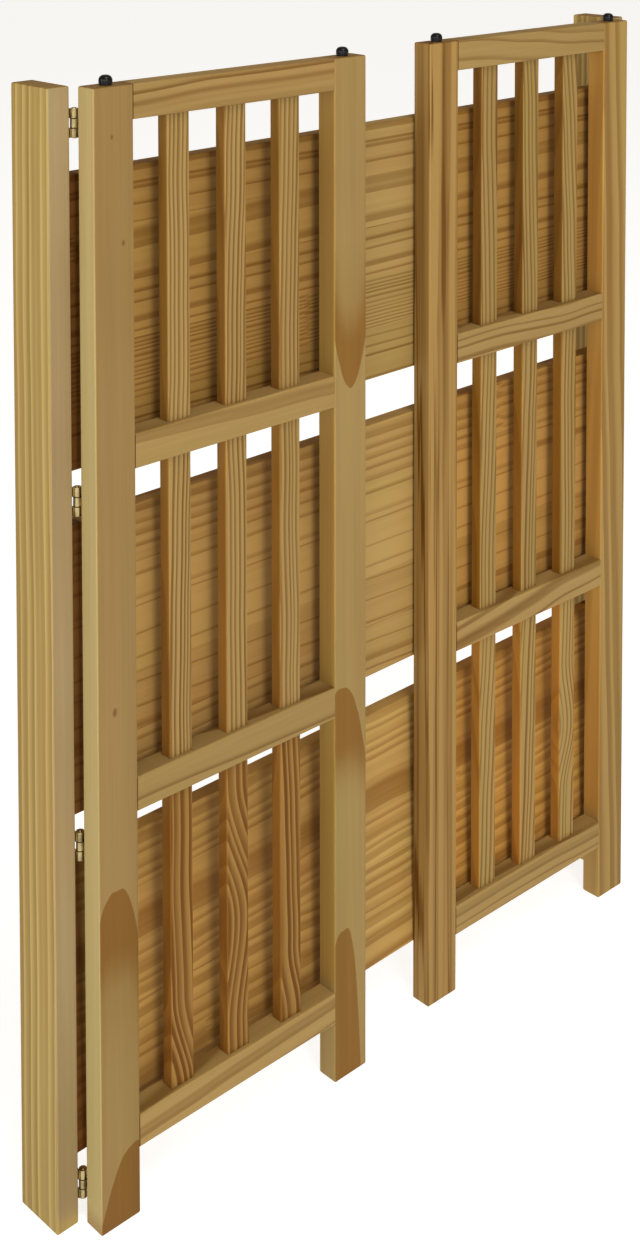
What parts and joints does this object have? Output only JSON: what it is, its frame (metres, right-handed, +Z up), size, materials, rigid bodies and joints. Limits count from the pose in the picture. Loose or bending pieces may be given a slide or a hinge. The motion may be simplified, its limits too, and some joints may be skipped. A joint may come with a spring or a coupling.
{
  "type": "folding bookcase",
  "caption": "Free-standing pine folding bookcase shown folded flat: slatted side leaves swung in on butt hinges over shelves stowed upright between the rear posts.",
  "frame": {"origin": "middle of the folded footprint, on the floor", "axes": "+Z up, +X to the right seen from the front, -Y out of the front"},
  "size_m": [0.705, 0.0766, 0.8876],
  "materials": {
    "pine_posts": "clear satin lacquer",
    "pine_rails": "clear satin lacquer",
    "pine_leaf": "clear satin lacquer",
    "pine_slats": "clear satin lacquer",
    "pine_shelves": "clear satin lacquer",
    "brass": "polished",
    "steel": "plain",
    "black_plastic": "semi-gloss"
  },
  "bodies": {
    "back_frame": {"left_post": "pine_posts", "right_post": "pine_posts", "back_rail_top": "pine_rails", "back_rail_middle": "pine_rails", "back_rail_bottom": "pine_rails", "shelf_pins_top": "steel", "shelf_pins_middle": "steel", "shelf_pins_bottom": "steel", "left_post_hinge_plates": "brass", "right_post_hinge_plates": "brass", "left_post_hinge_screws": "brass", "right_post_hinge_screws": "brass", "left_hinge_pins": "brass", "right_hinge_pins": "brass"},
    "left_leaf": {"left_hinge_stile": "pine_leaf", "left_front_stile": "pine_leaf", "left_rail_top": "pine_leaf", "left_rail_upper": "pine_leaf", "left_rail_lower": "pine_leaf", "left_rail_bottom": "pine_leaf", "left_slat_1_1": "pine_slats", "left_slat_1_2": "pine_slats", "left_slat_1_3": "pine_slats", "left_slat_2_1": "pine_slats", "left_slat_2_2": "pine_slats", "left_slat_2_3": "pine_slats", "left_slat_3_1": "pine_slats", "left_slat_3_2": "pine_slats", "left_slat_3_3": "pine_slats", "left_leaf_hinge_plates": "brass", "left_leaf_hinge_screws": "brass", "left_stacking_pegs": "black_plastic"},
    "right_leaf": {"right_hinge_stile": "pine_leaf", "right_front_stile": "pine_leaf", "right_rail_top": "pine_leaf", "right_rail_upper": "pine_leaf", "right_rail_lower": "pine_leaf", "right_rail_bottom": "pine_leaf", "right_slat_1_1": "pine_slats", "right_slat_1_2": "pine_slats", "right_slat_1_3": "pine_slats", "right_slat_2_1": "pine_slats", "right_slat_2_2": "pine_slats", "right_slat_2_3": "pine_slats", "right_slat_3_1": "pine_slats", "right_slat_3_2": "pine_slats", "right_slat_3_3": "pine_slats", "right_leaf_hinge_plates": "brass", "right_leaf_hinge_screws": "brass", "right_stacking_pegs": "black_plastic"},
    "shelf_top": {"shelf_top": "pine_shelves"},
    "shelf_middle": {"shelf_middle": "pine_shelves"},
    "shelf_bottom": {"shelf_bottom": "pine_shelves"}
  },
  "joints": [
    {"name": "left_leaf_hinge", "type": "hinge", "parent": "back_frame", "child": "left_leaf", "pos_m": [-0.3286, -0.0095, 0.44], "axis": [0, 0, -1], "range_deg": [-2.4, 89]},
    {"name": "right_leaf_hinge", "type": "hinge", "parent": "back_frame", "child": "right_leaf", "pos_m": [0.3286, -0.0095, 0.44], "axis": [0, 0, 1], "range_deg": [0, 91.4]},
    {"name": "shelf_top_pivot", "type": "hinge", "parent": "back_frame", "child": "shelf_top", "pos_m": [0, 0.0028, 0.6205], "axis": [1, 0, 0], "range_deg": [-2.2, 0]},
    {"name": "shelf_middle_pivot", "type": "hinge", "parent": "back_frame", "child": "shelf_middle", "pos_m": [0, 0.0028, 0.3535], "axis": [1, 0, 0], "range_deg": [-2.2, 0]},
    {"name": "shelf_bottom_pivot", "type": "hinge", "parent": "back_frame", "child": "shelf_bottom", "pos_m": [0, 0.0028, 0.0865], "axis": [1, 0, 0], "range_deg": [0, 2.2]}
  ]
}
